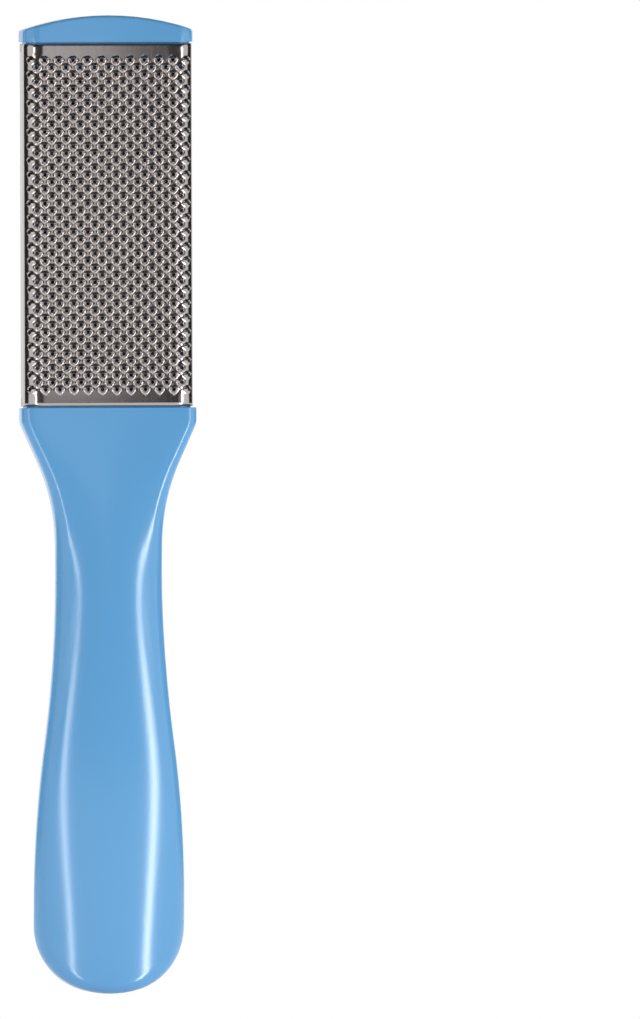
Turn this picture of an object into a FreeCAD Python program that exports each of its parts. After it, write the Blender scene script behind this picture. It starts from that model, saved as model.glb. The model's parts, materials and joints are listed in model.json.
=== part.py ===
import FreeCAD, Part
import math
import os

# A two-sided foot file, upright: +Z runs up its length to the tip, the steel rasp faces -Y and the
# emery faces +Y. The origin is the middle of the hand grip. All sizes are in millimetres.

# Whole file
file_length = 205.0
origin_above_end = 62.0  # from the lower end up to the middle of the grip

# Steel rasp plate, a pierced sheet bent round the head
plate_width = 36.4  # across the back of the flanges
plate_length = 76.0
plate_depth = 8.2  # from the rasp's sheet to the rolled lips
plate_front = -4.2  # the sheet's outer face on the rasp side
sheet = 0.4
flare_deg = 6.0  # the flanges spread towards the back
bend_radius = 3.4
lip_radius = 0.9
lip_reach = 2.0  # how far each rolled lip turns in at the back
lip_relief = 0.8  # the lips stop short of the plate's ends

# Teeth, raised by a three-sided punch on a staggered grid, one corner down
tooth_pitch = 3.0
tooth_wrap = 2.5  # how far the teeth go on round the bends
tooth_margin = 3.1  # plain strip at each end of the plate
tooth_sides = 3
tooth_base = 1.25  # from a tooth's middle to its corners on the sheet
tooth_hole = 0.45  # from its middle to the corners of the pierced hole
tooth_height = 0.6
tooth_root = 0.06  # how deep a raised collar starts in the flat sheet
bend_root = 0.38  # and in the bends, where the sheet falls away beside it

# Arched tip and shoulder of the blue moulding
cap_height = 5.6
cap_rise = 3.2  # of the arch, from its ends to its middle
cap_edge = 0.7
shoulder_edge = 0.5  # round on the shoulder's upper edge
proud = 0.2  # tip and shoulder stand this far outside the plate
plate_gap = 0.3  # between the plate's ends and the moulding
plate_seat = 0.05  # between the sheet and the rails that it clips round

# Filings hollow and lid opening in the head
wall_end = 2.0  # ledge at each end of the hollow
rail_ledge = 1.4  # ledge under the lid's long edges
lid_past_shoulder = 1.3  # the lid's opening runs this far into the shoulder

# Emery lid
lip_to_lid = 0.4  # the gap that shows between the steel lips and the lid
lid_floor = 1.5
lid_rib = 1.2
rib_height = 0.6
lid_gap = 0.3  # between the lid's long edges and the rails
lid_end_gap = 0.15
lid_seat = 0.05
tongue_width = 7.0
tongue_spread = 16.0  # between the two tongues' centres
tongue_length = 1.2
tongue_thick = 0.9
tongue_gap = 0.15
tongue_swing = 0.7  # room behind a tongue for the lid to tilt

# Thumb recess in one long edge of the lid
notch_radius = 4.4
notch_inset = 0.7  # its centre lies inside the lid's edge
notch_rise = 17.0  # above the lower end of the lid's opening
notch_sink = 0.5  # its floor lies this far under the lid's floor
notch_gap = 0.1  # its floor runs out as far as this from the rail

# Emery sheet: glue, paper and grit
paper_margin = 0.1  # to the rib on the notch's side
paper_far_margin = 1.0  # to the other rib
paper_end = 0.25
paper_notch_radius = 7.2
glue_thick = 0.1
paper_thick = 0.25
grit_thick = 0.3

# Handle outline
shoulder_run = 2.4  # upright, before the sweep down to the neck
shoulder_round = 4.0
sweep_deg = 24.0
neck_round = 42.0
neck_width = 22.3
neck_drop = 33.8  # from the shoulder down to where the grip starts to widen
grip_rise = 19.0  # from the end up to the widest place
grip_width = 31.6
grip_share = 0.52  # of the way from neck to grip, where its two arcs meet
end_radius = 20.5
end_corner = 14.0

# Handle body
handle_bow = 3.0  # the grip swells towards the rasp side
crown = 4.0  # rise of the front's arch over the grip's width; elsewhere it keeps to scale
crown_end_width = 24.0  # the width that the arch keeps to at the lower end
crown_full = 0.36  # share of the handle where the arch is full
front_round = 2.4
wall = 2.6
rim = 1.4
dish_start = 0.03  # shares of the handle where the hollow back starts and is full
dish_full = 0.42
stations = 12

tip_z = file_length - origin_above_end
end_z = -origin_above_end
flare = math.tan(math.radians(flare_deg))
flare_slant = math.cos(math.radians(flare_deg))
plate_back = plate_front + plate_depth
cap_front = plate_front - proud
cap_back = plate_back + proud
shoulder_below = cap_height + plate_length + 2 * plate_gap
shoulder_z = tip_z - shoulder_below
shoulder_half = plate_width / 2 + proud
cap_radius = (shoulder_half ** 2 + cap_rise ** 2) / (2 * cap_rise)
rail_inset = sheet + plate_seat
cap_z = tip_z - cap_height
lid_back = plate_back
lid_inner = lid_back - rib_height - lid_floor
ledge_y = lid_inner - lid_seat
lid_floor_back = lid_back - rib_height
lip_half = plate_width / 2 - lip_reach
lid_half = lip_half - lip_to_lid
lid_open_half = lid_half + lid_gap
lid_open_low = shoulder_z - lid_past_shoulder
notch_x = lid_half - notch_inset
notch_z = lid_open_low + notch_rise
neck_z = shoulder_z - neck_drop
grip_z = end_z + grip_rise
skin_half = shoulder_half + wall  # the handle's cutting surfaces reach past its outline
far = file_length
tiny = 0.05


def vector(x, y, z):
    return FreeCAD.Vector(x, y, z)


def box(x1, x2, y1, y2, z1, z2):
    return Part.makeBox(x2 - x1, y2 - y1, z2 - z1, vector(x1, y1, z1))


def rounded(corners, radii):
    """A closed wire in XY through the corners, each rounded by its own radius."""
    edges = []
    starts = []
    crests = []
    ends = []
    count = len(corners)
    for i in range(count):
        here = vector(corners[i][0], corners[i][1], 0)
        back = vector(corners[i - 1][0], corners[i - 1][1], 0) - here
        ahead = vector(corners[(i + 1) % count][0], corners[(i + 1) % count][1], 0) - here
        back.normalize()
        ahead.normalize()
        half = back.getAngle(ahead) / 2
        reach = radii[i] / math.tan(half)
        middle = back + ahead
        middle.normalize()
        crest = here + middle * (radii[i] / math.sin(half) - radii[i])
        starts.append(here + back * reach)
        ends.append(here + ahead * reach)
        crests.append(crest)
    for i in range(count):
        edges.append(Part.Arc(starts[i], crests[i], ends[i]).toShape())
        edges.append(Part.LineSegment(ends[i], starts[(i + 1) % count]).toShape())
    return Part.Wire(Part.__sortEdges__(edges))


def flank_x(y, inset):
    """Half the head's width at a depth y, for a profile inset from the plate's outside."""
    return plate_width / 2 - (plate_back - y) * flare - inset / flare_slant


def head_block(inset, z_low, z_high):
    """The head's rounded, flared section, inset evenly from the plate's outside."""
    y_front = plate_front + inset
    y_back = plate_back - inset
    x_front = flank_x(y_front, inset)
    x_back = flank_x(y_back, inset)
    corners = [(-x_front, y_front), (x_front, y_front), (x_back, y_back), (-x_back, y_back)]
    radii = [bend_radius - inset, bend_radius - inset, lip_radius - inset, lip_radius - inset]
    section = Part.Face(rounded(corners, radii))
    section.translate(vector(0, 0, z_low))
    return section.extrude(vector(0, 0, z_high - z_low))


def bend_from(x1, z1, x2, z2, share):
    """Two tangent arcs in XZ, upright at both ends; share is where they meet along the chord."""
    turn = math.atan(abs((x2 - x1) / (z2 - z1)))
    across = math.copysign(1, x2 - x1)
    along = math.copysign(1, z2 - z1)
    total = abs(z2 - z1) / math.sin(2 * turn)
    side = 1 - math.cos(turn)
    run = math.sin(turn)
    first = total * share
    second = total - first
    meet = vector(x1 + (x2 - x1) * share, 0, z1 + (z2 - z1) * share)
    upper = vector(x1 + across * first * side, 0, z1 + along * first * run)
    lower = vector(x2 - across * second * side, 0, z2 - along * second * run)
    return [
        Part.Arc(vector(x1, 0, z1), upper, meet).toShape(),
        Part.Arc(meet, lower, vector(x2, 0, z2)).toShape(),
    ]


def sweep_from(x1, z1, x2, convex, concave):
    """A convex arc, a straight sweep and a concave arc in XZ, upright at both ends."""
    turn = math.radians(sweep_deg)
    length = (x1 - x2 - (convex + concave) * (1 - math.cos(turn))) / math.sin(turn)
    points = []
    for part in (0, 0.5, 1):
        x = x1 - convex * (1 - math.cos(turn * part))
        points.append(vector(x, 0, z1 - convex * math.sin(turn * part)))
    start = points[2] - vector(length * math.sin(turn), 0, length * math.cos(turn))
    z2 = start.z - concave * math.sin(turn)
    for part in (1, 0.5, 0):
        x = x2 + concave * (1 - math.cos(turn * part))
        points.append(vector(x, 0, z2 + concave * math.sin(turn * part)))
    return [
        Part.Arc(points[0], points[1], points[2]).toShape(),
        Part.LineSegment(points[2], points[3]).toShape(),
        Part.Arc(points[3], points[4], points[5]).toShape(),
    ], z2


def handle_prism(inset):
    """The handle's outline seen from the front, inset evenly and drawn out along Y."""
    top = shoulder_half - inset
    neck = neck_width / 2 - inset
    grip = grip_width / 2 - inset
    corner = end_corner - inset
    bottom = end_radius - inset
    run_z = shoulder_z - shoulder_run
    low = end_z + inset
    drop = math.sqrt((bottom - corner) ** 2 - (grip - corner) ** 2)
    corner_z = low + bottom - drop
    lean = math.atan2(grip - corner, drop)
    touch = vector(bottom * math.sin(lean), 0, low + bottom - bottom * math.cos(lean))
    swing = (lean + math.pi / 2) / 2
    crest = vector(grip - corner + corner * math.sin(swing), 0, corner_z - corner * math.cos(swing))
    half = [Part.LineSegment(vector(top, 0, shoulder_z), vector(top, 0, run_z)).toShape()]
    sweep, waist_z = sweep_from(top, run_z, neck, shoulder_round - inset, neck_round + inset)
    half += sweep
    half.append(Part.LineSegment(vector(neck, 0, waist_z), vector(neck, 0, neck_z)).toShape())
    half += bend_from(neck, neck_z, grip, grip_z, grip_share)
    half.append(Part.LineSegment(vector(grip, 0, grip_z), vector(grip, 0, corner_z)).toShape())
    half.append(Part.Arc(vector(grip, 0, corner_z), crest, touch).toShape())
    other = [edge.mirror(vector(0, 0, 0), vector(1, 0, 0)) for edge in half]
    left = vector(-touch.x, 0, touch.z)
    closing = [
        Part.LineSegment(vector(top, 0, shoulder_z), vector(-top, 0, shoulder_z)).toShape(),
        Part.Arc(touch, vector(0, 0, low), left).toShape(),
    ]
    outline = Part.Face(Part.Wire(Part.__sortEdges__(half + other + closing)))
    outline.translate(vector(0, -far, 0))
    return outline.extrude(vector(0, 2 * far, 0))


def ease(share):
    """A smooth step from 0 to 1."""
    share = min(1.0, max(0.0, share))
    return share * share * (3 - 2 * share)


def bow(share):
    return handle_bow * math.sin(math.pi * share)


def crown_width(share):
    """The width that the front's arch keeps to: the neck's, then the grip's, then less at the end."""
    z = station_z(share)
    if z > grip_z:
        return neck_width + (grip_width - neck_width) * ease((neck_z - z) / (neck_z - grip_z))
    return grip_width + (crown_end_width - grip_width) * ease((grip_z - z) / (grip_z - end_z))


def arch(share):
    """How far the skin falls back from its middle to skin_half; never quite flat, to stay an arc."""
    radius = (grip_width ** 2 / 4 + crown ** 2) / (2 * crown) * crown_width(share) / grip_width
    full = radius - math.sqrt(radius ** 2 - skin_half ** 2)
    return tiny + full * ease(share / crown_full)


def station_z(share):
    return shoulder_z + (end_z - shoulder_z) * share


def arched_tool(middle_y, side):
    """A solid bounded by the handle's arched skin, out to the far side along Y."""
    sections = []
    for i in range(-1, stations + 2):
        share = i / stations
        z = station_z(share)
        y = middle_y(share)
        edge_y = y + arch(share)
        left = vector(-skin_half, edge_y, z)
        right = vector(skin_half, edge_y, z)
        out_left = vector(-skin_half, side * far, z)
        out_right = vector(skin_half, side * far, z)
        skin = Part.Arc(left, vector(0, y, z), right).toShape()
        frame = Part.makePolygon([right, out_right, out_left, left])
        sections.append(Part.Wire([skin] + frame.Edges))
    return Part.makeLoft(sections, True, False)


def back_tool():
    """A solid behind the handle's bowed rim."""
    rim_line = []
    for i in range(-1, stations + 2):
        share = i / stations
        rim_line.append(vector(-far, cap_back - bow(share), station_z(share)))
    curve = Part.BSplineCurve()
    curve.interpolate(rim_line)
    first = rim_line[0]
    last = rim_line[-1]
    side = Part.makePolygon([last, vector(-far, far, last.z), vector(-far, far, first.z), first])
    face = Part.Face(Part.Wire([curve.toShape()] + side.Edges))
    return face.extrude(vector(2 * far, 0, 0))


def front_skin(share):
    return cap_front - bow(share)


def dish_floor(share):
    """The hollow back's floor: level with the rim at the shoulder, one wall behind the front below."""
    depth = cap_back - cap_front - wall
    rise = 1 - ease((share - dish_start) / (dish_full - dish_start))
    return front_skin(share) + wall + depth * rise


def make_handle():
    solid = handle_prism(0).cut([arched_tool(front_skin, -1), back_tool()]).Solids[0]
    skin = min(solid.Faces, key=lambda face: face.CenterOfMass.y)
    outer = [edge for edge in skin.Edges if edge.BoundBox.ZMin < shoulder_z - tiny]
    solid = solid.makeFillet(front_round, outer)
    top = max(solid.Faces, key=lambda face: face.CenterOfMass.z)
    upper = [edge for edge in top.Edges if edge.CenterOfMass.y < cap_back - tiny]
    solid = solid.makeFillet(shoulder_edge, upper)
    dish = handle_prism(rim).common(arched_tool(dish_floor, 1))
    return solid.cut(dish)


def make_tip():
    """The arched end of the head, over the plate's upper edge."""
    block = head_block(-proud, cap_z, tip_z + far)
    half = skin_half
    sag = cap_radius - math.sqrt(cap_radius ** 2 - half ** 2)
    edges = [
        Part.Arc(vector(-half, -far, tip_z - sag), vector(0, -far, tip_z), vector(half, -far, tip_z - sag)),
        Part.LineSegment(vector(half, -far, tip_z - sag), vector(half, -far, tip_z - far)),
        Part.LineSegment(vector(half, -far, tip_z - far), vector(-half, -far, tip_z - far)),
        Part.LineSegment(vector(-half, -far, tip_z - far), vector(-half, -far, tip_z - sag)),
    ]
    outline = Part.Face(Part.Wire([edge.toShape() for edge in edges]))
    solid = block.common(outline.extrude(vector(0, 2 * far, 0))).Solids[0]
    arched = [edge for edge in solid.Edges if edge.BoundBox.ZMin > cap_z + cap_edge]
    return solid.makeFillet(cap_edge, arched)


def notch_shape(radius, y1, y2):
    """The U-shaped outline of the thumb recess, open to the lid's long edge."""
    disc = Part.makeCylinder(radius, y2 - y1, vector(notch_x, y1, notch_z), vector(0, 1, 0))
    return disc.fuse(box(notch_x, lid_open_half, y1, y2, notch_z - radius, notch_z + radius))


def make_handle_frame():
    rails = head_block(rail_inset, shoulder_z - wall_end, cap_z + wall_end)
    hollow_half = lid_open_half - rail_ledge
    hollow = box(-hollow_half, hollow_half, -far, ledge_y, shoulder_z + wall_end, cap_z - wall_end)
    opening = box(-lid_open_half, lid_open_half, ledge_y, far, lid_open_low, cap_z)
    slots = []
    for side in (-1, 1):
        x = side * tongue_spread / 2
        half = tongue_width / 2 + tongue_gap
        y_low = lid_inner - tongue_swing
        y_high = lid_inner + tongue_thick + tongue_gap
        z_high = cap_z + tongue_length + tongue_gap
        slots.append(box(x - half, x + half, y_low, y_high, cap_z - wall_end, z_high))
    solid = rails.fuse([make_handle(), make_tip()])
    return solid.cut([hollow, opening] + slots).removeSplitter()


def tooth_ring(radius, z):
    """The corners of a tooth's outline, the first one down the file."""
    ring = []
    for i in range(tooth_sides):
        turn = 2 * math.pi * i / tooth_sides
        ring.append(vector(radius * math.sin(turn), -radius * math.cos(turn), z))
    return ring


def make_tooth(root):
    """One raised collar, point up along +Z from the sheet's outer face."""
    slope = tooth_height / (tooth_base - tooth_hole)
    tip = vector(0, 0, tooth_base * slope)
    ring = tooth_ring(tooth_base + root / slope, -root)
    faces = [Part.Face(Part.makePolygon(ring + ring[:1]))]
    for i in range(len(ring)):
        side = [ring[i - 1], ring[i], tip, ring[i - 1]]
        faces.append(Part.Face(Part.makePolygon(side)))
    return Part.Solid(Part.Shell(faces))


def make_punch():
    """The hole through one collar."""
    ring = tooth_ring(tooth_hole, -2 * sheet)
    face = Part.Face(Part.makePolygon(ring + ring[:1]))
    return face.extrude(vector(0, 0, 2 * sheet + tooth_base))


def tooth_places():
    """Where the teeth stand on the flat sheet and on its bends, with +Z out of the steel."""
    front_half = flank_x(plate_front, 0)
    corner = math.radians(90 - flare_deg)
    flat_half = front_half - bend_radius * math.tan(corner / 2)
    steps_across = (flat_half + tooth_wrap) / tooth_pitch
    steps_up = math.floor((plate_length / 2 - tooth_margin) / (tooth_pitch / 2))
    middle_z = (cap_z + shoulder_z) / 2
    upright = FreeCAD.Rotation(vector(1, 0, 0), 90)
    flat = []
    bent = []
    for row in range(-steps_up, steps_up + 1):
        z = middle_z + row * tooth_pitch / 2
        if (row + steps_up) % 2:
            across = 2 * math.floor(steps_across) + 1
        else:
            across = 2 * math.floor(steps_across + 0.5)
        for column in range(across):
            along = (column - (across - 1) / 2) * tooth_pitch
            past = abs(along) - flat_half
            if past <= 0:
                flat.append(FreeCAD.Placement(vector(along, plate_front, z), upright))
                continue
            turn = math.copysign(past / (bend_radius - sheet / 2), along)
            x = math.copysign(flat_half, along) + bend_radius * math.sin(turn)
            y = plate_front + bend_radius * (1 - math.cos(turn))
            lean = FreeCAD.Rotation(vector(0, 0, 1), math.degrees(turn))
            bent.append(FreeCAD.Placement(vector(x, y, z), lean.multiply(upright)))
    return flat, bent


def placed(shape, places):
    copies = []
    for place in places:
        copy = shape.copy()
        copy.Placement = place
        copies.append(copy)
    return copies


def make_rasp_plate():
    z_low = shoulder_z + plate_gap
    z_high = cap_z - plate_gap
    skin = head_block(0, z_low, z_high).cut(head_block(sheet, z_low, z_high))
    lip_low = plate_back - lip_radius
    open_back = box(-lip_half, lip_half, 0, far, z_low, z_high)
    low_ends = box(-far, far, lip_low, far, z_low, z_low + lip_relief)
    high_ends = box(-far, far, lip_low, far, z_high - lip_relief, z_high)
    skin = skin.cut([open_back, low_ends, high_ends])
    flat, bent = tooth_places()
    skin = skin.fuse(placed(make_tooth(tooth_root), flat) + placed(make_tooth(bend_root), bent))
    return skin.cut(placed(make_punch(), flat + bent))


def make_emery_lid():
    z_low = lid_open_low + lid_end_gap
    z_high = cap_z - lid_end_gap
    tray_half = lid_half - lid_rib
    solid = box(-lid_half, lid_half, lid_inner, lid_back, z_low, z_high)
    tray = box(-tray_half, tray_half, lid_floor_back, far, z_low, z_high)
    tongues = []
    for side in (-1, 1):
        x = side * tongue_spread / 2
        x_low = x - tongue_width / 2
        x_high = x + tongue_width / 2
        tongue_back = lid_inner + tongue_thick
        z_tip = cap_z + tongue_length
        tongues.append(box(x_low, x_high, lid_inner, tongue_back, z_high - lid_floor, z_tip))
    notch_floor = lid_floor_back - notch_sink
    notch_low = notch_z - notch_radius
    notch_high = notch_z + notch_radius
    run_out = box(notch_x, lid_open_half - notch_gap, lid_inner, notch_floor, notch_low, notch_high)
    solid = solid.fuse(tongues + [run_out])
    solid = solid.cut([tray, notch_shape(notch_radius, notch_floor, far)])
    return solid.removeSplitter()


def emery_layer(y, thick):
    """One layer of the emery sheet, die-cut round the thumb recess."""
    x_low = -lid_half + lid_rib + paper_far_margin
    x_high = lid_half - lid_rib - paper_margin
    z_low = lid_open_low + lid_end_gap + paper_end
    z_high = cap_z - lid_end_gap - paper_end
    sheet_box = box(x_low, x_high, y, y + thick, z_low, z_high)
    cut_out = Part.makeCylinder(paper_notch_radius, thick, vector(notch_x, y, notch_z), vector(0, 1, 0))
    return sheet_box.cut(cut_out)


paper_y = lid_floor_back + glue_thick
grit_y = paper_y + paper_thick
pieces = {
    "handle_frame": make_handle_frame(),
    "rasp_plate": make_rasp_plate(),
    "emery_lid": make_emery_lid(),
    "glue_film": emery_layer(lid_floor_back, glue_thick),
    "emery_paper": emery_layer(paper_y, paper_thick),
    "emery_grit": emery_layer(grit_y, grit_thick),
}

os.makedirs("parts", exist_ok=True)
for name, shape in pieces.items():
    shape.exportStep("parts/" + name + ".step")
    size = shape.BoundBox
    print(name, len(shape.Solids), shape.isValid(), round(shape.Volume, 1), len(shape.Faces))
    print("  x", round(size.XMin, 2), round(size.XMax, 2), "y", round(size.YMin, 2), round(size.YMax, 2),
          "z", round(size.ZMin, 2), round(size.ZMax, 2))
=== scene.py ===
# %% [markdown]
# # A two-sided foot file
#
# The file stands upright: +Z runs up to the tip, the steel rasp faces -Y and the emery faces +Y. The solids
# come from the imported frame, and this lesson gives each of them the surface that the real piece has. The
# grip, the rasp plate and the grit are modelled again in more detail. The head and the lid keep their solids'
# shapes and get softened edges, and the paper and the glue only get a finish.

import json
import math
import random

import bmesh
import bpy
from mathutils import Matrix, Vector

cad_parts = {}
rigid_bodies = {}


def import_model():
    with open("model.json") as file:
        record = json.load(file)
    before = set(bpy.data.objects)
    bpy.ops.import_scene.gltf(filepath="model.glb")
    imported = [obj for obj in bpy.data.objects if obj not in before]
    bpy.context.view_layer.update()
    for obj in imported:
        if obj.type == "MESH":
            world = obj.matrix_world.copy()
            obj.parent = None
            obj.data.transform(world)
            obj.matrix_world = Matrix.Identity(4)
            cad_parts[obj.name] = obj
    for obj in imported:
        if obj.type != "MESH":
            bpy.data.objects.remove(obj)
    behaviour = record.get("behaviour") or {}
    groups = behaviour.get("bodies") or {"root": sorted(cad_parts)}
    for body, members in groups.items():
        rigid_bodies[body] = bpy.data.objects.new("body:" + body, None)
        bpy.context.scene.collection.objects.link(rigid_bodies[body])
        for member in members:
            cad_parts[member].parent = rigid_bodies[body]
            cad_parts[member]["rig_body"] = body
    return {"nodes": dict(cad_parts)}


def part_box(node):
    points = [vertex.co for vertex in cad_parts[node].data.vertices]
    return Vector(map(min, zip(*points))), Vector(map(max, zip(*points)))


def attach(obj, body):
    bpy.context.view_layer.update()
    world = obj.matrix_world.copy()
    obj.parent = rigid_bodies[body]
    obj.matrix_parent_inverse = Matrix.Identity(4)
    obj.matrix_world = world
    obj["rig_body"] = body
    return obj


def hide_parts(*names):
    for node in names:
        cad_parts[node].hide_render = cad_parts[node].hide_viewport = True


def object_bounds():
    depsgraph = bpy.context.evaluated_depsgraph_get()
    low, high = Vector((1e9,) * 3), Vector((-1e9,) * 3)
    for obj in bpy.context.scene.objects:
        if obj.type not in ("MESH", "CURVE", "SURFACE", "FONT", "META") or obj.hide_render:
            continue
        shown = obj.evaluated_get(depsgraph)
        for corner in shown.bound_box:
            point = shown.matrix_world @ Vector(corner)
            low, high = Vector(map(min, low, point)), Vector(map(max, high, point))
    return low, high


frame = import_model()
cad_low, cad_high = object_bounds()
MM = 0.001


def in_mm(*lengths):
    """Lengths in millimetres, rounded for a print."""
    return [round(length / MM, 2) for length in lengths]


print("frame", in_mm(*cad_low), in_mm(*cad_high))

# %% [markdown]
# Colours are written as the sRGB hex values that a picture shows, and one function turns them into the
# linear numbers that a shader works in. Two more add a node and fill its inputs, with values or with links
# from other nodes, so that each material below reads as a short list of what goes into it. Patterns read
# Object coordinates, which are in metres, so a pattern's scale is one divided by the size of its features.


# %% Colours and nodes
def linear(code):
    """The linear colour of an sRGB hex value such as #64a1cf."""
    values = []
    for i in (1, 3, 5):
        value = int(code[i:i + 2], 16) / 255
        values.append(value / 12.92 if value <= 0.04045 else ((value + 0.055) / 1.055) ** 2.4)
    return (*values, 1.0)


def fill(node, inputs):
    """Fills a node's inputs: a socket is linked to its input, anything else becomes the input's value."""
    for name, value in inputs.items():
        if isinstance(value, bpy.types.NodeSocket):
            node.id_data.links.new(value, node.inputs[name])
        else:
            node.inputs[name].default_value = value


def add_node(owner, kind, inputs=None, **settings):
    """Adds one node to a material or a world, with its own settings and its inputs."""
    node = owner.node_tree.nodes.new(kind)
    for name, value in settings.items():
        setattr(node, name, value)
    fill(node, inputs or {})
    return node


def new_material(name):
    """A material and its shader."""
    material = bpy.data.materials.new(name)
    material.use_nodes = True
    return material, material.node_tree.nodes["Principled BSDF"]


print("mid grey is", [round(value, 3) for value in linear("#808080")])

# %% [markdown]
# Every finished piece goes the same way: its bmesh becomes the mesh of an object at the origin with one
# material, the solid that it stands for is hidden, and the object rides on the body that carries that solid.
# Faces shade smoothly except across edges that turn by more than a chosen angle.


def new_object(name, bm):
    """An object at the origin with a bmesh's shape."""
    mesh = bpy.data.meshes.new(name)
    bm.to_mesh(mesh)
    bm.free()
    made = bpy.data.objects.new(name, mesh)
    bpy.context.scene.collection.objects.link(made)
    return made


def make_piece(name, bm, material, smooth_deg, node):
    """A piece from a bmesh, standing for one node of the frame."""
    piece = new_object(name, bm)
    mesh = piece.data
    # a copy of a solid brings its own normals, which would override the smooth shading
    if "custom_normal" in mesh.attributes:
        mesh.attributes.remove(mesh.attributes["custom_normal"])
    mesh.materials.clear()
    mesh.materials.append(material)
    mesh.shade_smooth()
    mesh.set_sharp_from_angle(angle=math.radians(smooth_deg))
    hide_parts(node)
    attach(piece, frame["nodes"][node]["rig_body"])
    print(name, len(mesh.polygons), "faces")
    return piece


# %% [markdown]
# The handle, shoulder, side rails and tip are one injection moulding in light blue polypropylene. The plastic
# is a little waxy, and light could be let into it as it is into wax. It is opaque at this thickness, though,
# so an even colour under a soft gloss is enough. Its index of refraction is about 1.5. The mould leaves a
# faint ripple, some millimetres wide, and a bump pattern of that size breaks the highlights very slightly.


# %% Blue polypropylene
def moulded_polypropylene(name, colour):
    """To the eye: an even blue with long, clear and slightly soft highlights."""
    ripple_size = 9.0 * MM
    ripple_depth = 0.03 * MM
    material, shader = new_material(name)
    place = add_node(material, "ShaderNodeTexCoord").outputs["Object"]
    ripple = add_node(material, "ShaderNodeTexNoise", {
        "Vector": place,
        "Scale": 1 / ripple_size,
        "Detail": 1.0,
    })
    bump = add_node(material, "ShaderNodeBump", {
        "Height": ripple.outputs["Fac"],
        "Distance": ripple_depth,
        "Strength": 0.35,
    })
    fill(shader, {
        "Base Color": linear(colour),
        "Roughness": 0.18,
        "IOR": 1.53,
        "Normal": bump.outputs["Normal"],
    })
    return material


handle_blue = moulded_polypropylene("moulded polypropylene, light blue", "#5c9acb")
lid_blue = moulded_polypropylene("moulded polypropylene, light blue lid", "#67a3d3")
print(handle_blue.name, "and", lid_blue.name)

# %% [markdown]
# The grip shows every flaw of its mesh, because long highlights run along it. The triangles of a solid bend
# such highlights, and a subdivision surface over a coarse cage would shrink away from the measured outline.
# So the grip is modelled again as one even net of quads. Its outline is walked from the shoulder down to the
# middle of the end: each move is a straight length or an arc, as it would be drawn with ruler and compass.

# %% Sizes of the grip
plate_low, plate_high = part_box("rasp_plate")
body_low, body_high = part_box("handle_frame")
plate_gap = 0.3 * MM
tooth_lead = 0.4 * MM
shoulder_z = plate_low.z - plate_gap
end_z = body_low.z
grip_front = plate_low.y + tooth_lead
grip_back = body_high.y
shoulder_half = body_high.x
shoulder_run = 2.4 * MM
shoulder_round = 4.0 * MM
sweep = math.radians(24.0)
neck_round = 42.0 * MM
neck_half = 11.15 * MM
neck_z = shoulder_z - 33.8 * MM
grip_half = 15.8 * MM
grip_z = end_z + 19.0 * MM
swell_share = 0.52
end_round = 20.5 * MM
end_corner = 14.0 * MM
print("shoulder, end and front", in_mm(shoulder_z, end_z, grip_front))


# %% Moves down the outline
def outline_moves():
    """The moves down the right side: a length and the angle that it turns inwards on the way."""
    rounds = shoulder_round + neck_round
    slant = (shoulder_half - neck_half - rounds * (1 - math.cos(sweep))) / math.sin(sweep)
    waist = shoulder_z - shoulder_run - rounds * math.sin(sweep) - slant * math.cos(sweep) - neck_z
    swell = 2 * math.atan((grip_half - neck_half) / (neck_z - grip_z))
    swell_round = (neck_z - grip_z) / math.sin(swell)
    drop = math.sqrt((end_round - end_corner) ** 2 - (grip_half - end_corner) ** 2)
    lean = math.atan2(grip_half - end_corner, drop)
    corner_turn = math.pi / 2 - lean
    return [
        (shoulder_run, 0),
        (shoulder_round * sweep, sweep),
        (slant, 0),
        (neck_round * sweep, -sweep),
        (waist, 0),
        (swell_round * swell_share * swell, -swell),
        (swell_round * (1 - swell_share) * swell, swell),
        (grip_z - end_z - end_round + drop, 0),
        (end_corner * corner_turn, corner_turn),
        (end_round * lean, lean),
    ]


print("moves", in_mm(*[length for length, turn in outline_moves()]))

# %% Walk the outline
row_step = 1.65 * MM
row_turn = math.radians(4)


def walk_outline():
    """Places along the outline in x and z, each with its outward direction."""
    place = Vector((shoulder_half, shoulder_z))
    heading = 0.0
    walked = [(place.copy(), Vector((1, 0)))]
    for length, turn in outline_moves():
        count = max(1, round(length / row_step), round(abs(turn) / row_turn))
        bend = turn / count
        for _ in range(count):
            middle = heading + bend / 2
            chord = length / count
            if turn:
                chord *= math.sin(bend / 2) / (bend / 2)
            place -= chord * Vector((math.sin(middle), math.cos(middle)))
            heading += bend
            walked.append((place.copy(), Vector((math.cos(heading), -math.sin(heading)))))
    return walked


outline = walk_outline()
print("outline", len(outline), "places, the last one at x and z", in_mm(*outline[-1][0]))

# %% [markdown]
# Four short functions give the depth of the grip at any place: its front is arched across, the arch fades out
# at the flat shoulder, the whole grip bows towards the rasp side, and its back is dished out so that the
# plastic keeps an even wall, as every moulding needs to cool evenly. Values that are not lengths are shares
# of the way from the shoulder down to the end.

# %% Sizes of the section
bow_depth = 3.0 * MM
crown = 4.0 * MM
least_crown = 0.05 * MM
crown_full = 0.36
crown_wide_half = 14.6 * MM
crown_wide_z = end_z + 42.0 * MM
crown_end_half = 13.0 * MM
front_round = 2.4 * MM
wall = 2.6 * MM
rim = 1.4 * MM
dish_wall = 3.2 * MM
dish_start = 0.03
dish_full = 0.25
print("crown, wall and rim", in_mm(crown, wall, rim))


# %% Depths of the grip
def ease(share):
    """A share from 0 to 1 that starts and ends gently."""
    share = min(1.0, max(0.0, share))
    return share * share * (3 - 2 * share)


def glide(start, end, share):
    """A size on its gentle way from start to end."""
    return start + (end - start) * ease(share)


def share_of(z):
    """How much of the way from the shoulder to the end lies above a level."""
    return (shoulder_z - z) / (shoulder_z - end_z)


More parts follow.
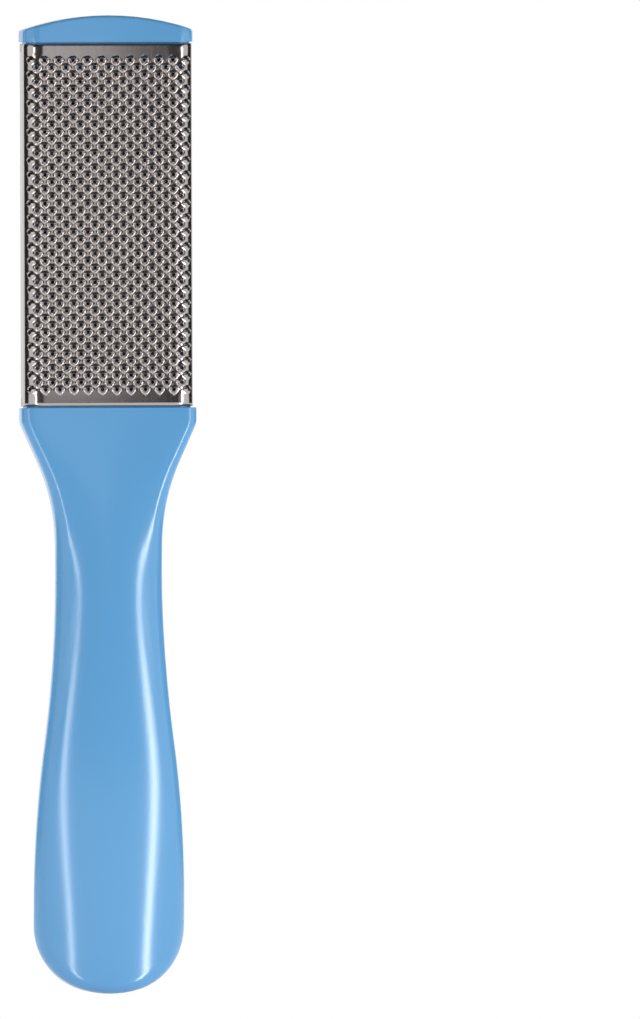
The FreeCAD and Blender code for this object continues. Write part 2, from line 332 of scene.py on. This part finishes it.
def bow_at(z):
    """How far the grip bows towards the rasp side at a level."""
    return bow_depth * math.sin(math.pi * share_of(z))


def arch_half_at(z):
    """Half the width over which the front is arched at a level."""
    if z > neck_z:
        return glide(shoulder_half, neck_half, (shoulder_z - z) / (shoulder_z - neck_z))
    if z > crown_wide_z:
        return glide(neck_half, crown_wide_half, (neck_z - z) / (neck_z - crown_wide_z))
    return glide(crown_wide_half, crown_end_half, (crown_wide_z - z) / (crown_wide_z - end_z))


print("bow at the neck", in_mm(bow_at(neck_z)), "arched over", in_mm(2 * arch_half_at(neck_z)))


# %% Front, rim and dish
def arch_at(x, z):
    """How far the arched front has fallen back at a place."""
    half = arch_half_at(z)
    fall = least_crown + crown * ease(share_of(z) / crown_full)
    radius = (half ** 2 + fall ** 2) / (2 * fall)
    return radius - math.sqrt(radius ** 2 - x ** 2)


def front_at(x, z):
    """The depth of the front at a place."""
    return grip_front - bow_at(z) + arch_at(x, z)


def rim_at(z):
    """The depth of the rim round the hollow back."""
    return grip_back - bow_at(z)


def dish_at(x, z):
    """The depth of the hollow back's floor, which meets the rim at its upper end."""
    shallow = 1 - ease((share_of(z) - dish_start) / (dish_full - dish_start))
    floor_y = front_at(x, z) + wall + (grip_back - grip_front - wall) * shallow
    return min(rim_at(z), floor_y)


print("front, dish and rim at the neck", in_mm(front_at(0, neck_z), dish_at(0, neck_z), rim_at(neck_z)))

# %% [markdown]
# The net could be bridged from closed loops, one section after the other. A plain grid keeps its rows and
# columns in order instead, so each corner finds its own place. The rows are the places along the outline, and
# the columns go once round the section: across the front, round the front edge, up the side, over the rim and
# down into the dish, then the same on the other side. Each column says how far it lies inside the outline,
# and gives a share that its kind of surface turns into a depth.

# %% Columns round the section
front_cuts = 8
edge_cuts = 6
wall_cuts = 7
section = [("front", front_round, i / front_cuts) for i in range(front_cuts)]
for i in range(edge_cuts + 1):
    angle = math.pi / 2 * i / edge_cuts
    section.append(("edge", front_round * (1 - math.sin(angle)), 1 - math.cos(angle)))
section += [("side", 0, 0.5), ("side", 0, 1), ("side", rim / 2, 1), ("side", rim, 1)]
for i in range(1, wall_cuts + 1):
    inward = 1 - math.cos(math.pi / 2 * i / wall_cuts)
    section.append(("wall", rim + dish_wall * inward, math.sqrt(1 - (1 - inward) ** 2)))
for i in range(front_cuts - 1, -1, -1):
    section.append(("dish", rim + dish_wall, i / front_cuts))
print("columns", len(section))


# %% One corner of the net
def grip_point(column, row):
    """The place of one corner of the net."""
    kind, inset, share = section[column]
    place, out = outline[row]
    x, z = place - inset * out
    x = max(0.0, x)
    # the round under the shoulder is tighter than the deepest inset, so slanting rows would cross there
    if place.y > neck_z:
        z = place.y
    if kind in ("front", "dish"):
        x *= share
    front_y = front_at(x, z)
    edge_y = front_y + front_round
    rim_y = rim_at(z)
    depths = {
        "front": front_y,
        "edge": front_y + front_round * share,
        "side": edge_y + (rim_y - edge_y) * share,
        "wall": rim_y + (dish_at(x, z) - rim_y) * share,
        "dish": dish_at(x, z),
    }
    return Vector((x, depths[kind], z))


print("middle of the front at the shoulder", in_mm(*grip_point(0, 0)))

# %% The grip
weld_gap = 0.0001 * MM
grip_crease_deg = 35


def border_edges(bm):
    """The edges that have a face on one side only."""
    return [edge for edge in bm.edges if edge.is_boundary]


last_column = len(section) - 1
last_row = len(outline) - 1
bm = bmesh.new()
bmesh.ops.create_grid(bm, x_segments=2 * last_column, y_segments=last_row, size=0.5)
for vert in bm.verts:
    column = round((vert.co.x + 0.5) * 2 * last_column)
    row = round((0.5 - vert.co.y) * last_row)
    vert.co = grip_point(min(column, 2 * last_column - column), row)
    if column > last_column:
        vert.co.x = -vert.co.x
bmesh.ops.remove_doubles(bm, verts=bm.verts, dist=weld_gap)
bmesh.ops.contextual_create(bm, geom=border_edges(bm))
bmesh.ops.recalc_face_normals(bm, faces=bm.faces)
print("open edges", len(border_edges(bm)))
grip = make_piece("grip_moulding", bm, handle_blue, smooth_deg=grip_crease_deg, node="handle_frame")

# %% [markdown]
# The lid's lower end lies in a shallow step at the top of the grip. The step is cut out of the net with a
# block, as a milling cutter would cut it out of the mould's pattern. All edges of the moulding are then
# softened, because plastic doesn't fill a sharp corner of a mould.


# %% A cutter and a softener
def block(name, low, high):
    """An object that is a plain block between two corners."""
    bm = bmesh.new()
    bmesh.ops.create_cube(bm, size=1.0)
    bmesh.ops.scale(bm, vec=high - low, verts=bm.verts)
    bmesh.ops.translate(bm, vec=(low + high) / 2, verts=bm.verts)
    return new_object(name, bm)


def cut_block(piece, low, high, crease_deg):
    """Cuts a block out of a piece and keeps the result as its mesh."""
    cutter = block("cutter", low, high)
    cut = piece.modifiers.new("cut", "BOOLEAN")
    cut.object = cutter
    cut.operation = "DIFFERENCE"
    cut.solver = "EXACT"
    result = piece.evaluated_get(bpy.context.evaluated_depsgraph_get())
    piece.data = bpy.data.meshes.new_from_object(result)
    piece.modifiers.clear()
    bpy.data.objects.remove(cutter)
    piece.data.set_sharp_from_angle(angle=math.radians(crease_deg))
    print(piece.name, len(piece.data.polygons), "faces after the cut")


def soften(piece, width, least_turn_deg):
    """Rounds the edges of a piece that turn by more than an angle."""
    soft = piece.modifiers.new("moulded edges", "BEVEL")
    soft.width = width
    soft.segments = 2
    soft.limit_method = "ANGLE"
    soft.angle_limit = math.radians(least_turn_deg)
    print(piece.name, "softened by", in_mm(width))


# %% The step for the lid
lid_low, lid_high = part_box("emery_lid")
step_half = 16.1 * MM
seat_gap = 0.05 * MM
end_gap = 0.15 * MM
past_top = 1.0 * MM
grip_soft = 0.6 * MM
moulding_turn_deg = 50
step_low = Vector((-step_half, lid_low.y - seat_gap, lid_low.z - end_gap))
step_high = Vector((step_half, 2 * grip_back, shoulder_z + past_top))
cut_block(grip, step_low, step_high, grip_crease_deg)
soften(grip, grip_soft, moulding_turn_deg)

# %% [markdown]
# The head of the same moulding, with its two rails and the arched tip, keeps its solid's shape. It is cut off
# level with the shoulder, where the grip takes over, and flat triangles are joined into whole faces first, so
# that the softened edges come out even.


# %% The head
def merged_copy(node):
    """A bmesh of a node's own shape with its loose triangles joined."""
    bm = bmesh.new()
    bm.from_mesh(frame["nodes"][node].data)
    bmesh.ops.remove_doubles(bm, verts=bm.verts, dist=weld_gap)
    return bm


flat_turn = math.radians(0.5)
head_soft = 0.3 * MM
bm = merged_copy("handle_frame")
everything = bm.verts[:] + bm.edges[:] + bm.faces[:]
bmesh.ops.bisect_plane(bm, geom=everything, plane_co=(0, 0, shoulder_z), plane_no=(0, 0, 1), clear_inner=True)
bmesh.ops.dissolve_limit(bm, angle_limit=flat_turn, verts=bm.verts, edges=bm.edges)
head = make_piece("head_moulding", bm, handle_blue, smooth_deg=32, node="handle_frame")
soften(head, head_soft, moulding_turn_deg)

# %% [markdown]
# The rasp is a stainless sheet that is pierced from behind. Each hole is pushed out into a small sharp
# collar, and the rows are staggered so that no strip of skin is missed. One tooth could be copied to every
# place, but each copy would then have to be joined to the sheet. Here the teeth grow out of the sheet itself.
# It is modelled flat, as the real sheet is pierced flat, and folded round the head afterwards. A grid whose
# corners lie at half a tooth pitch has a tooth at every second corner: joining the other corners and
# dissolving the tooth's own corner leaves one diamond round each tooth, and insets turn the diamond into a
# collar with a hole.

# %% Sizes of the rasp plate
pitch = 3.0 * MM
tooth_height = 0.6 * MM
teeth_across = 11
tooth_rows = 23
sheet = 0.4 * MM
bend_radius = 3.4 * MM
lip_radius = 0.9 * MM
lip_straight = 1.1 * MM
flare = math.radians(6.0)
plate_front = plate_low.y + tooth_height
plate_back = plate_high.y
plate_half = plate_high.x
plate_mid = (plate_low.z + plate_high.z) / 2
plate_half_length = (plate_high.z - plate_low.z) / 2
print("plate: half width, front and half length", in_mm(plate_half, plate_front, plate_half_length))

# %% [markdown]
# The folded section is walked along its outer face: flat, round the front bend, straight along the flared
# flank and round the tight rolled lip. One function gives the place and the outward direction after any
# walked length, and every point of the flat sheet is carried over by it.

# %% Lengths along the folded section
bend_turn = math.pi / 2 - flare
lip_turn = math.pi / 2 + flare
bend_middle_radius = bend_radius - sheet / 2
lip_middle = Vector((plate_half - lip_radius, plate_back - lip_radius))
flank_end = lip_middle + lip_radius * Vector((math.cos(flare), -math.sin(flare)))
bend_end_y = plate_front + bend_radius * (1 - math.sin(flare))
flank_end_y = plate_back - lip_radius * (1 + math.sin(flare))
flank = (flank_end_y - bend_end_y) / math.cos(flare)
flat_half = flank_end.x - flank * math.sin(flare) - bend_radius * math.cos(flare)
bend_length = bend_middle_radius * bend_turn
lip_length = lip_radius * lip_turn
lip_start = flat_half + bend_length + flank
half_sheet = lip_start + lip_length + lip_straight
print("half sheet", in_mm(half_sheet), "flat to", in_mm(flat_half))


# %% Fold the section
def fold(walked):
    """Place and outward direction on the section after a walked length from the middle."""
    side = math.copysign(1, walked)
    left = abs(walked) - flat_half
    if left <= 0:
        return Vector((walked, plate_front)), Vector((0, -1))
    turn = min(left / bend_middle_radius, bend_turn)
    out = Vector((math.sin(turn), -math.cos(turn)))
    place = Vector((flat_half, plate_front + bend_radius)) + bend_radius * out
    left -= bend_length
    if left > 0:
        place += min(left, flank) * Vector((math.sin(flare), math.cos(flare)))
        left -= flank
    if left > 0:
        turn = bend_turn + min(left / lip_radius, lip_turn)
        out = Vector((math.sin(turn), -math.cos(turn)))
        place = lip_middle + lip_radius * out
        left -= lip_length
    if left > 0:
        place.x -= left
    return Vector((side * place.x, place.y)), Vector((side * out.x, out.y))


print("the folded edge lies at x and y", in_mm(*fold(half_sheet)[0]))

# %% [markdown]
# Each tooth starts as one diamond of the flat grid. Its collar is a stack of rings that shrink towards the
# hole while they rise, and the last one turns down into the hole. The punch has three blunt corners, one of
# which points down the file, so the rings are pulled out a little at these.

# %% One diamond round each tooth
half_pitch = pitch / 2
grid_x = teeth_across + 1
grid_z = tooth_rows + 1
bm = bmesh.new()
bmesh.ops.create_grid(bm, x_segments=2 * grid_x, y_segments=2 * grid_z, size=0.5)
bmesh.ops.scale(bm, vec=(grid_x * pitch, grid_z * pitch, 1), verts=bm.verts)
teeth = []
others = []
for vert in bm.verts:
    i = round(vert.co.x / half_pitch)
    j = round(vert.co.y / half_pitch)
    if (i + j) % 2:
        others.append(vert)
    elif abs(i) <= teeth_across and abs(j) <= tooth_rows:
        teeth.append(vert)
print("teeth", len(teeth))
bmesh.ops.connect_verts(bm, verts=others)
bmesh.ops.dissolve_verts(bm, verts=teeth)
diamonds = [face for face in bm.faces if len(face.verts) == 4]
print("diamonds", len(diamonds))

# %% Raise the collars
rings_mm = [(1.04, 0.0), (0.9, 0.08), (0.64, 0.38), (0.44, 0.6), (0.3, 0.48)]  # radius and height of each
side_cuts = 2
first_inset = 0.1 * MM
punch_corners = 3
corner_pull = 0.07
diamond_set = set(diamonds)
diamond_edges = [edge for edge in bm.edges if diamond_set.intersection(edge.link_faces)]
bmesh.ops.subdivide_edges(bm, edges=diamond_edges, cuts=side_cuts)
for radius, height in rings_mm:
    middles = {face: face.calc_center_median() for face in diamonds}
    bmesh.ops.inset_individual(bm, faces=diamonds, thickness=first_inset)
    for face in diamonds:
        middle = middles[face]
        for vert in face.verts:
            out = Vector((vert.co.x - middle.x, vert.co.y - middle.y, 0)).normalized()
            angle = math.atan2(out.y, out.x) + math.pi / 2
            pull = 1 + corner_pull * math.cos(punch_corners * angle)
            vert.co = Vector((middle.x, middle.y, 0)) + radius * MM * pull * out
            vert.co.z = height * MM
bmesh.ops.delete(bm, geom=diamonds, context="FACES_ONLY")
print("pierced sheet", len(bm.faces), "faces")

# %% [markdown]
# Round the pierced field the sheet is plain: two strips at its ends, two flanks and two lips. They grow out
# of the field's border by extrusion, one row after the other, so that the whole plate stays one sheet. The
# lips end a little short of the plate's ends, so that they clear the tip and the shoulder.

# %% Plain strips, flanks and lips
across, along = 0, 1
border_depth = 0.01 * MM
lip_relief = 0.8 * MM
lip_cuts = 6


def grow(bm, axis, side, place):
    """Extrudes the sheet's border on one side and moves the new border out to a place."""
    inner = max(side * vert.co[axis] for vert in bm.verts) - border_depth
    outermost = [edge for edge in border_edges(bm) if all(side * v.co[axis] > inner for v in edge.verts)]
    for part in bmesh.ops.extrude_edge_only(bm, edges=outermost)["geom"]:
        if isinstance(part, bmesh.types.BMVert):
            part.co[axis] = side * place


walks = [flat_half + bend_length, lip_start]
walks += [lip_start + lip_length * step / lip_cuts for step in range(1, lip_cuts + 1)]
walks.append(half_sheet)
for side in (-1, 1):
    for place in (plate_half_length - lip_relief, plate_half_length):
        grow(bm, along, side, place)
for side in (-1, 1):
    for place in walks:
        grow(bm, across, side, place)
print("grown sheet", len(bm.faces), "faces")


# %% Shorten the lips and fold the sheet
def face_outwards(bm, way):
    """Turns a sheet's faces outwards: its outermost face along way times Y has to look that way."""
    bmesh.ops.recalc_face_normals(bm, faces=bm.faces)
    outermost = max(bm.faces, key=lambda face: way * face.calc_center_median().y)
    if way * outermost.normal.y < 0:
        bmesh.ops.reverse_faces(bm, faces=bm.faces)


relieved = []
for face in bm.faces:
    middle = face.calc_center_median()
    if abs(middle.x) > lip_start and abs(middle.y) > plate_half_length - lip_relief:
        relieved.append(face)
bmesh.ops.delete(bm, geom=relieved, context="FACES")
for vert in bm.verts:
    place, out = fold(vert.co.x)
    place = place + out * vert.co.z
    vert.co = Vector((place.x, place.y, plate_mid + vert.co.y))
face_outwards(bm, -1)
print("folded sheet", len(bm.verts), "corners")

# %% [markdown]
# Cold-rolled stainless sheet is a mid grey mirror with a fine grain from the rolls. The grain runs along the
# plate and stretches the reflections a little, which a noise of long thin features in the roughness imitates.
# Real roll marks are finer than a pixel, so here they are drawn half a millimetre wide to show at all.


# %% Stainless steel
def rolled_stainless():
    """To the eye: bright and dark patches of the surroundings, slightly blurred along the plate."""
    roll_mark = 0.5 * MM
    stretch = 0.08
    material, shader = new_material("stainless steel, cold-rolled sheet")
    place = add_node(material, "ShaderNodeTexCoord").outputs["Object"]
    lengthwise = add_node(material, "ShaderNodeMapping", {"Vector": place, "Scale": (1.0, 1.0, stretch)})
    marks = add_node(material, "ShaderNodeTexNoise", {
        "Vector": lengthwise.outputs["Vector"],
        "Scale": 1 / roll_mark,
        "Detail": 3.0,
    })
    rough = add_node(material, "ShaderNodeMapRange", {
        "Value": marks.outputs["Fac"],
        "To Min": 0.11,
        "To Max": 0.22,
    })
    fill(shader, {
        "Base Color": linear("#b6afad"),
        "Metallic": 1.0,
        "Roughness": rough.outputs["Result"],
    })
    return material


rasp = make_piece("pierced_rasp_plate", bm, rolled_stainless(), smooth_deg=50, node="rasp_plate")
thickness = rasp.modifiers.new("sheet thickness", "SOLIDIFY")
thickness.thickness = sheet
thickness.offset = -1

# %% [markdown]
# The lid is a thin moulded panel with two raised ribs. Its solid has knife-sharp edges, and no moulding has
# those, so a small bevel rounds them and gives each rib the thin light line that the real one shows.

# %% The lid
lid_soft = 0.12 * MM
lid = make_piece("emery_lid_panel", merged_copy("emery_lid"), lid_blue, smooth_deg=30, node="emery_lid")
soften(lid, lid_soft, least_turn_deg=40)

# %% [markdown]
# Emery is a coat of crushed black grains set in resin. At arm's length the eye sees a black rough field with
# single bright facets. A bump pattern could draw them, but it would leave the coat flat when seen along its
# face. A fine grid with a random height at each corner gives real facets, and the last row all round wanders
# a little, as the real sheet's cut edge does. The sheet is cut out round the thumb recess.

# %% The grit's field
random.seed(4)
grain = 0.42 * MM
grit_low, grit_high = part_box("emery_grit")
grit_size = grit_high - grit_low
grit_middle = (grit_low + grit_high) / 2
grains_across = round(grit_size.x / grain)
grains_along = round(grit_size.z / grain)
bm = bmesh.new()
bmesh.ops.create_grid(bm, x_segments=grains_across, y_segments=grains_along, size=0.5)
bmesh.ops.scale(bm, vec=(grit_size.x, grit_size.z, 1), verts=bm.verts)
bmesh.ops.translate(bm, vec=(grit_middle.x, grit_middle.z, 0), verts=bm.verts)
print("grit field", grains_across, "by", grains_along)

# %% The cut-out round the thumb recess
notch_inset = 0.9 * MM
notch_rise = 16.85 * MM
notch_round = 7.2 * MM
notch = Vector((lid_high.x - notch_inset, lid_low.z + notch_rise))
near_notch = notch_round + 1.5 * grain
inside = [vert for vert in bm.verts if (vert.co.xy - notch).length < notch_round]
bmesh.ops.delete(bm, geom=inside, context="VERTS")
border = {vert for edge in border_edges(bm) for vert in edge.verts}
for vert in border:
    away = vert.co.xy - notch
    if away.length < near_notch:
        vert.co.xy = notch + away.normalized() * notch_round
print("border", len(border), "corners")

# %% Grains
lowest_grain = 0.3
edge_height = 0.25
edge_wander = 0.5
grain_shift = 0.3
for vert in bm.verts:
    vert.co.z = grit_size.y * random.uniform(lowest_grain, 1.0)
    if vert in border:
        vert.co.x += random.uniform(0, edge_wander) * grain * (-1 if vert.co.x > 0 else 1)
        vert.co.z = edge_height * grit_size.y
    else:
        vert.co.x += random.uniform(-grain_shift, grain_shift) * grain
        vert.co.y += random.uniform(-grain_shift, grain_shift) * grain
for part in bmesh.ops.extrude_edge_only(bm, edges=border_edges(bm))["geom"]:
    if isinstance(part, bmesh.types.BMVert):
        part.co.z = 0
for vert in bm.verts:
    vert.co = Vector((vert.co.x, grit_low.y + vert.co.z, vert.co.y))
face_outwards(bm, 1)
print("grains", len(bm.verts), "corners")

# %% [markdown]
# The grains are black, and each face has a gloss of its own. The scattered bright facets come partly from
# that real gloss and partly from painted glints, where a few grains get a paler base colour. A Voronoi
# pattern with cells as large as a grain gives each one a random colour: one channel of it sets the roughness,
# and another picks the few grains that get a painted glint.


# %% Black emery
def emery_coat():
    """To the eye: a deep black with scattered dim sparks, partly gloss and partly painted glints in the base
    colour.
    """
    cell = 0.45 * MM
    material, shader = new_material("emery, black grains in resin")
    place = add_node(material, "ShaderNodeTexCoord").outputs["Object"]
    cells = add_node(material, "ShaderNodeTexVoronoi", {"Vector": place, "Scale": 1 / cell})
    channels = add_node(material, "ShaderNodeSeparateColor", {"Color": cells.outputs["Color"]})
    rough = add_node(material, "ShaderNodeMapRange", {
        "Value": channels.outputs["Red"],
        "To Min": 0.25,
        "To Max": 0.8,
    })
    tone = add_node(material, "ShaderNodeValToRGB", {"Fac": channels.outputs["Green"]})
    # the paler second colour is a painted glint on a few grains, not a colour that the grains have
    dark, painted_glint = tone.color_ramp.elements
    dark.position = 0.85
    dark.color = linear("#0b0b0b")
    painted_glint.color = linear("#34312d")
    fill(shader, {
        "Base Color": tone.outputs["Color"],
        "Roughness": rough.outputs["Result"],
        "Specular IOR Level": 0.14,
    })
    return material


make_piece("emery_grit_coat", bm, emery_coat(), smooth_deg=20, node="emery_grit")

# %% [markdown]
# Under the grit lie the dark waterproof backing paper and the thin film of glue. Only their cut edges show,
# so both keep their solids. Real paper fibres are finer than a pixel, and the bump pattern is drawn coarser.


# %% Paper and glue
def cut_edge_finish(name, colour, roughness, node):
    """To the eye: a dull, slightly uneven line along the edge of the sheet."""
    fibre = 0.4 * MM
    fibre_height = 0.02 * MM
    material, shader = new_material(name)
    place = add_node(material, "ShaderNodeTexCoord").outputs["Object"]
    fibres = add_node(material, "ShaderNodeTexNoise", {"Vector": place, "Scale": 1 / fibre, "Detail": 2.0})
    bump = add_node(material, "ShaderNodeBump", {
        "Height": fibres.outputs["Fac"],
        "Distance": fibre_height,
        "Strength": 0.4,
    })
    fill(shader, {
        "Base Color": linear(colour),
        "Roughness": roughness,
        "Normal": bump.outputs["Normal"],
    })
    piece = frame["nodes"][node]
    piece.data.materials.clear()
    piece.data.materials.append(material)
    print(node, "is", name)


cut_edge_finish("latex paper, dark cut edge", "#3a3836", 0.7, "emery_paper")
cut_edge_finish("acrylic adhesive film", "#d8d4c8", 0.35, "glue_film")

# %% [markdown]
# The photograph is a cut-out on white, lit softly from both sides. The world is white where the camera, a
# gloss or a glass looks at it, and dimmer as a source of light, so that the lamps can shape the grip. The
# floor is white paper. It reflects only the dim world, so for the camera alone it glows by what it lacks.

# %% World
white = (1, 1, 1, 1)
ambient = 0.37
world = bpy.data.worlds.new("white studio")
bpy.context.scene.world = world
world.use_nodes = True
rays = add_node(world, "ShaderNodeLightPath").outputs
looked_at = add_node(world, "ShaderNodeMath", {
    0: rays["Is Camera Ray"],
    1: rays["Is Glossy Ray"],
}, operation="MAXIMUM")
seen_through_too = add_node(world, "ShaderNodeMath", {
    0: looked_at.outputs[0],
    1: rays["Is Transmission Ray"],
}, operation="MAXIMUM")
level = add_node(world, "ShaderNodeMath", {
    0: seen_through_too.outputs[0],
    1: 1 - ambient,
    2: ambient,
}, operation="MULTIPLY_ADD")
fill(world.node_tree.nodes["Background"], {"Color": white, "Strength": level.outputs[0]})
print("world", ambient)

# %% Floor
floor_reflects = 0.9
floor_half = 2.0
bm = bmesh.new()
bmesh.ops.create_grid(bm, x_segments=1, y_segments=1, size=floor_half)
bmesh.ops.translate(bm, vec=(0, 0, cad_low.z), verts=bm.verts)
floor = new_object("floor", bm)
floor_paper, floor_shader = new_material("matt white paper floor")
from_camera = add_node(floor_paper, "ShaderNodeLightPath").outputs["Is Camera Ray"]
glow = add_node(floor_paper, "ShaderNodeMath", {
    0: from_camera,
    1: 1 - floor_reflects * ambient,
}, operation="MULTIPLY")
fill(floor_shader, {
    "Base Color": linear("#f7f7f7"),
    "Roughness": 0.9,
    "Emission Color": white,
    "Emission Strength": glow.outputs[0],
})
floor.data.materials.append(floor_paper)
floor.visible_glossy = False
floor.visible_shadow = False
print("floor at", in_mm(cad_low.z))

# %% [markdown]
# Two long strips stand in front, left and right, because a strip draws one long clean line along a rounded
# handle. Two short ones stand level with the head. The soft boxes at the sides, the back and the top lift the
# colours from all round, and gloss doesn't see them, so they leave no further lines or patches. Places and
# sizes are in metres, and an angle is counted from the rasp side to the right.

# %% Lamps
aim = Vector((0, 0, 0.04))


def studio_lamp(name, angle, distance, width, height, watts, lift, in_gloss=True):
    """A lamp that stands round the file at an angle and faces it."""
    lamp = bpy.data.lights.new(name, "AREA")
    lamp.shape = "RECTANGLE"
    lamp.size = width
    lamp.size_y = height
    lamp.energy = watts
    holder = bpy.data.objects.new(name, lamp)
    turn = math.radians(angle)
    holder.location = (distance * math.sin(turn), -distance * math.cos(turn), lift)
    holder.rotation_euler = (aim - holder.location).to_track_quat("-Z", "Y").to_euler()
    holder.visible_glossy = in_gloss
    bpy.context.scene.collection.objects.link(holder)
    print(name, [round(v, 3) for v in holder.location])


studio_lamp("left strip", angle=-38, distance=0.6, width=0.045, height=0.43, watts=0.8, lift=-0.135)
studio_lamp("right strip", angle=42, distance=0.6, width=0.07, height=0.43, watts=1.75, lift=-0.135)
studio_lamp("left head strip", angle=-45, distance=0.6, width=0.12, height=0.09, watts=0.16, lift=0.12)
studio_lamp("right head strip", angle=49, distance=0.6, width=0.15, height=0.09, watts=0.2, lift=0.12)
side_box = {"distance": 0.6, "width": 0.35, "height": 0.5, "watts": 0.75, "lift": 0.04, "in_gloss": False}
studio_lamp("left soft box", angle=-80, **side_box)
studio_lamp("right soft box", angle=82, **side_box)
back_box = {"distance": 0.55, "width": 0.26, "height": 0.18, "watts": 1.4, "lift": 0.22, "in_gloss": False}
studio_lamp("left back box", angle=-133, **back_box)
studio_lamp("right back box", angle=133, **back_box)
top_box = {"distance": 0.25, "width": 0.5, "height": 0.4, "watts": 0.5, "lift": 0.75, "in_gloss": False}
studio_lamp("top soft box", angle=0, **top_box)

# %% [markdown]
# A bright metal shows nothing but what stands round it, so the studio needs dark things as well. Dark cards
# stand in front and at both sides behind the file, one hangs above, and a pale grey strip stands before the
# head. They show only in gloss, where they give the steel its dark hollows and its grey middle tone.


# %% Cards
def card(name, low, high, grey):
    """A flat card between two corners that only gloss sees."""
    holder = block(name, Vector(low), Vector(high))
    paint, shader = new_material(name)
    fill(shader, {
        "Base Color": (0, 0, 0, 1),
        "Specular IOR Level": 0,
        "Emission Color": white,
        "Emission Strength": grey,
    })
    holder.data.materials.append(paint)
    holder.visible_camera = False
    holder.visible_diffuse = False
    holder.visible_shadow = False
    print(name, "with", grey, "of the world's white")


card("dark front card", low=(-0.9, -0.76, -0.06), high=(0.9, -0.75, 0.8), grey=0.05)
card("grey front strip", low=(-0.025, -0.21, 0.062), high=(0.018, -0.2, 0.3), grey=0.8)
card("dark ceiling card", low=(-0.9, -0.76, 0.8), high=(0.9, 0.4, 0.81), grey=0.03)
card("dark left card", low=(-0.61, 0.1, -0.06), high=(-0.6, 0.9, 0.8), grey=0.03)
card("dark right card", low=(0.6, 0.1, -0.06), high=(0.61, 0.9, 0.8), grey=0.03)

# %% [markdown]
# The camera looks straight at the rasp from a little to the left, where a slim strip of the left flank shows,
# and it is a telephoto view without perspective. The file's length in pixels gives the size of a pixel, and
# the file stands at the left of the picture.

# %% Camera
picture_height_px = 1019
file_length = 205.0 * MM
file_length_px = 978.5
left_of_middle_px = 211.5
middle_z = 39.3 * MM
camera_distance = 1.0
view_turn = math.radians(-4.5)
view_roll = math.radians(-0.2)
pixel = file_length / file_length_px
lens = bpy.data.cameras.new("camera")
lens.type = "ORTHO"
lens.ortho_scale = picture_height_px * pixel
camera = bpy.data.objects.new("camera", lens)
ahead = Vector((-math.sin(view_turn), math.cos(view_turn), 0))
right = Vector((math.cos(view_turn), math.sin(view_turn), 0))
target = Vector((0, 0, middle_z)) + right * left_of_middle_px * pixel
camera.location = target - ahead * camera_distance
level_view = Matrix.Rotation(view_turn, 4, "Z") @ Matrix.Rotation(math.pi / 2, 4, "X")
camera.rotation_euler = (level_view @ Matrix.Rotation(view_roll, 4, "Z")).to_euler()
bpy.context.scene.collection.objects.link(camera)
bpy.context.scene.camera = camera
bpy.context.scene.view_settings.view_transform = "Standard"
print("one pixel is", in_mm(pixel))
